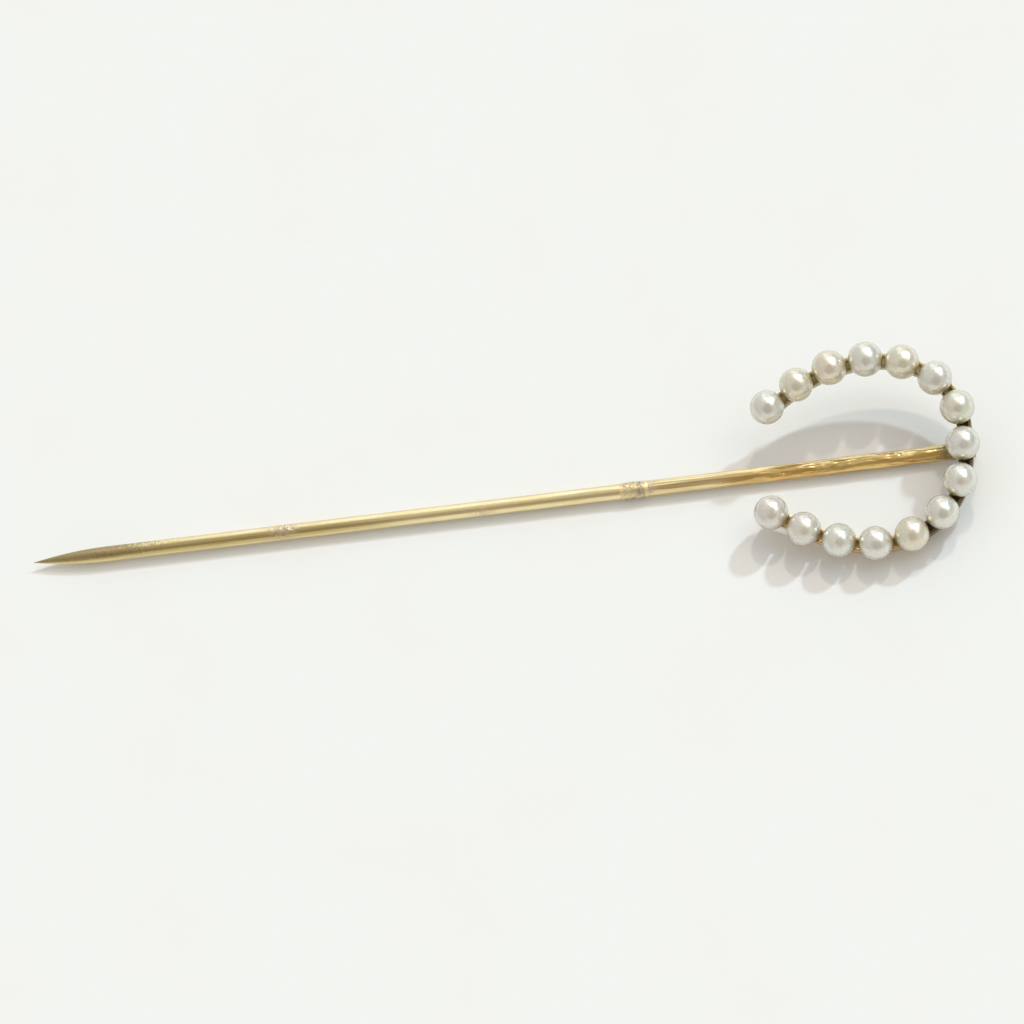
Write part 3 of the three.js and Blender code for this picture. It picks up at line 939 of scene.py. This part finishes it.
def build_sleeve():
    """A lumpy ring of solder round the joint, feathered at both ends and pitted."""
    sides, steps, pit_depth = 80, 60, 0.02
    inner = PIN_RADIUS + SLEEVE_GAP
    edge = SLEEVE_LENGTH / 2
    along = np.linspace(-edge, edge, steps)
    crest = 1 - smoothstep(np.abs(along), edge * 0.55, edge)
    outer_rings = round_stations(along, inner + SLEEVE_EDGE + SLEEVE_THICKNESS * crest, sides)
    rim = (crest * 0.9 + 0.1)[:, None]
    roughen(outer_rings, SOLDERED, rim)
    pit = sum(spot(outer_rings, *place) for place in PITS)
    seam = np.exp(-(((outer_rings[..., 0] - SEAM) / SEAM_WIDTH) ** 2))
    swell(outer_rings, -pit_depth * np.clip(pit + 0.6 * seam, 0, 1))
    inner_rings = round_stations(along[::-1], np.full(steps, inner), sides)
    rings = np.concatenate([outer_rings, inner_rings])
    mesh = make_mesh("solder_sleeve", rings, closed=True)
    pit_values = np.zeros(rings.shape[:2])
    pit_values[:steps] = np.clip(pit + 0.35 * seam, 0, 1)
    paint(mesh, "pit", pit_values)
    paint(mesh, "feather", smoothstep(np.abs(rings[..., 0]), edge * 0.55, edge * 0.95))
    add_piece("solder_sleeve", mesh, solder_metal(), (REPAIR_X, PIN_AXIS[1], PIN_AXIS[2]))


def build_block(finish):
    """The saddle block: waisted between its foot on the paddle and its head under the gallery."""
    sides, steps, squareness, eased_share = 72, 28, 0.22, 0.05
    foot = PIN_AXIS[2] + PIN_RADIUS * PADDLE_THINNER + FILM
    head = PLANE + GALLERY_BACK - FILM
    turn = np.arange(sides) * math.tau / sides
    x = np.sign(np.cos(turn)) * np.abs(np.cos(turn)) ** squareness
    y = np.sign(np.sin(turn)) * np.abs(np.sin(turn)) ** squareness
    rings = []
    for t in np.linspace(0, 1, steps):
        half_length = (1 - t) ** 2 * BLOCK_FOOT + 2 * t * (1 - t) * BLOCK_NECK + t**2 * BLOCK_HEAD
        from_end = min(min(t, 1 - t) / eased_share, 1)
        edge = BLOCK_EASING * (1 - math.sqrt(max(0.0, 1 - (1 - from_end) ** 2)))
        height = np.full(sides, foot + (head - foot) * t)
        rings.append(np.stack([x * (half_length - edge), y * (BLOCK_WIDTH / 2 - edge), height], axis=1))
    rings = np.array(rings)
    rings[..., :2] *= 1 + 0.015 * rough(rings, 0.3, 71)[..., None]
    mesh = make_mesh("saddle_block", rings)
    paint(mesh, "recess", 0.45 + 0.3 * rough(rings, 0.3, 72))
    add_piece("saddle_block", mesh, finish, (CROWN[0], CROWN[1], 0))


# ---------------------------------------------------------------- table, light and camera


def add_table():
    """A plain pale card, just below the part."""
    reach, cells, height = 3.0, 60, -0.00001
    mesh = bpy.data.meshes.new("table")
    line = np.linspace(-reach, reach, cells)
    points = [(x, y, height) for y in line for x in line]
    faces = [
        (r * cells + c, r * cells + c + 1, (r + 1) * cells + c + 1, (r + 1) * cells + c)
        for r in range(cells - 1)
        for c in range(cells - 1)
    ]
    mesh.from_pydata(points, [], faces)
    table = bpy.data.objects.new("table", mesh)
    bpy.context.scene.collection.objects.link(table)
    s = Shader("table_card")
    cloud = s.noise((9, 9, 9), detail=3, seed=81)
    tooth = s.noise((0.25, 0.25, 0.25), detail=3, seed=82)
    paint_white = TABLE_ALBEDO - TABLE_GLOW
    white = (paint_white, paint_white, paint_white)
    warm = (paint_white, paint_white * 0.985, paint_white * 0.97)
    colour = s.mix(s.step(cloud, 0.45, 0.7), white, warm)
    normal = s.bump(tooth, 0.01)
    mesh.materials.append(s.finish(
        Base_Color=colour,
        Roughness=0.8,
        Specular_IOR_Level=0.2,
        Normal=normal,
        Emission_Color=(0.96, 0.99, 0.98, 1),
        Emission_Strength=TABLE_GLOW,
    ))


def direction(bearing, elevation):
    """The way to a point of the sky, with its bearing measured from +Y towards +X."""
    b, e = math.radians(bearing), math.radians(elevation)
    return (math.sin(b) * math.cos(e), math.cos(b) * math.cos(e), math.sin(e))


def add_lamp(name, elevation, bearing, share, spread):
    """A distant soft lamp that lights the table by the given share of full white."""
    towards = Vector(direction(bearing, elevation))
    lamp = bpy.data.lights.new(name, "SUN")
    brightest = max(share)
    lamp.energy = brightest * math.pi / (TABLE_ALBEDO * math.sin(math.radians(elevation)))
    lamp.color = tuple(c / brightest for c in share)
    lamp.angle = math.radians(spread)
    holder = bpy.data.objects.new(name, lamp)
    holder.rotation_mode = "QUATERNION"
    holder.rotation_quaternion = towards.to_track_quat("Z", "Y")
    bpy.context.scene.collection.objects.link(holder)


# The room is a soft grey with round patches of light and shade, each painted over the ones before it:
# bearing and elevation in degrees, how far it is full, how far beyond that it fades, and its colour
ROOM_GREY = (0.62, 0.61, 0.57)
ROOM_AS_BACKDROP = (0.82, 0.83, 0.82)
WINDOW = (1.28, 1.31, 1.33)
ROOM_PATCHES = [
    (180, 2, 26, 20, (0.85, 0.83, 0.78)),
    (60, 8, 30, 18, (0.42, 0.42, 0.40)),
    (6, 24, 8, 12, (0.98, 1.0, 0.98)),
    (-10, 14, 5, 8, WINDOW),
    (-10, 34, 5, 8, WINDOW),
    (-10, 54, 5, 8, WINDOW),
    (168, 50, 24, 12, (0.40, 0.355, 0.285)),
    (76, 53, 12, 9, (1.9, 1.9, 1.87)),
    (40, 70, 5, 8, (2.0, 2.0, 2.0)),
]


def add_room():
    """Soft light from all round: bright windows behind and above, dim to the right and at the viewer."""
    world = bpy.data.worlds.new("room")
    bpy.context.scene.world = world
    world.use_nodes = True
    s = Nodes(world.node_tree)
    way = s.node("TexCoord").outputs["Generated"]
    colour = ROOM_GREY
    for bearing, elevation, reach, fade, light in ROOM_PATCHES:
        near = s.vectors("DOT_PRODUCT", way, direction(bearing, elevation), "Value")
        gone, full = math.cos(math.radians(reach + fade)), math.cos(math.radians(reach))
        colour = s.mix(s.step(near, gone, full), colour, light)
    seen = s.node("LightPath").outputs["Is Camera Ray"]
    s.put(s.tree.nodes["Background"].inputs["Color"], s.mix(seen, colour, ROOM_AS_BACKDROP))


def add_camera():
    """The photo's view."""
    b, e = CAMERA_BEARING, CAMERA_ELEVATION
    back = Vector((math.sin(b) * math.cos(e), -math.cos(b) * math.cos(e), math.sin(e)))
    camera = bpy.data.cameras.new("camera")
    camera.lens = CAMERA_LENS
    camera.clip_start, camera.clip_end = 0.01, 10
    holder = bpy.data.objects.new("camera", camera)
    holder.location = (AIM + back * CAMERA_DISTANCE) * MM
    holder.rotation_mode = "QUATERNION"
    holder.rotation_quaternion = (-back).to_track_quat("-Z", "Y") @ Quaternion((0, 0, 1), CAMERA_ROLL)
    bpy.context.scene.collection.objects.link(holder)
    bpy.context.scene.camera = holder


add_camera()
add_table()
add_room()
add_lamp("cool_lamp", **COOL_LAMP)
add_lamp("warm_lamp", **WARM_LAMP)
bpy.context.scene.view_settings.view_transform = "Standard"

satin = head_gold("head_gold", 41)
build_settings(head_gold("cup_gold", 45))
build_gallery(satin)
build_point()
build_shank()
build_sleeve()
build_block(satin)
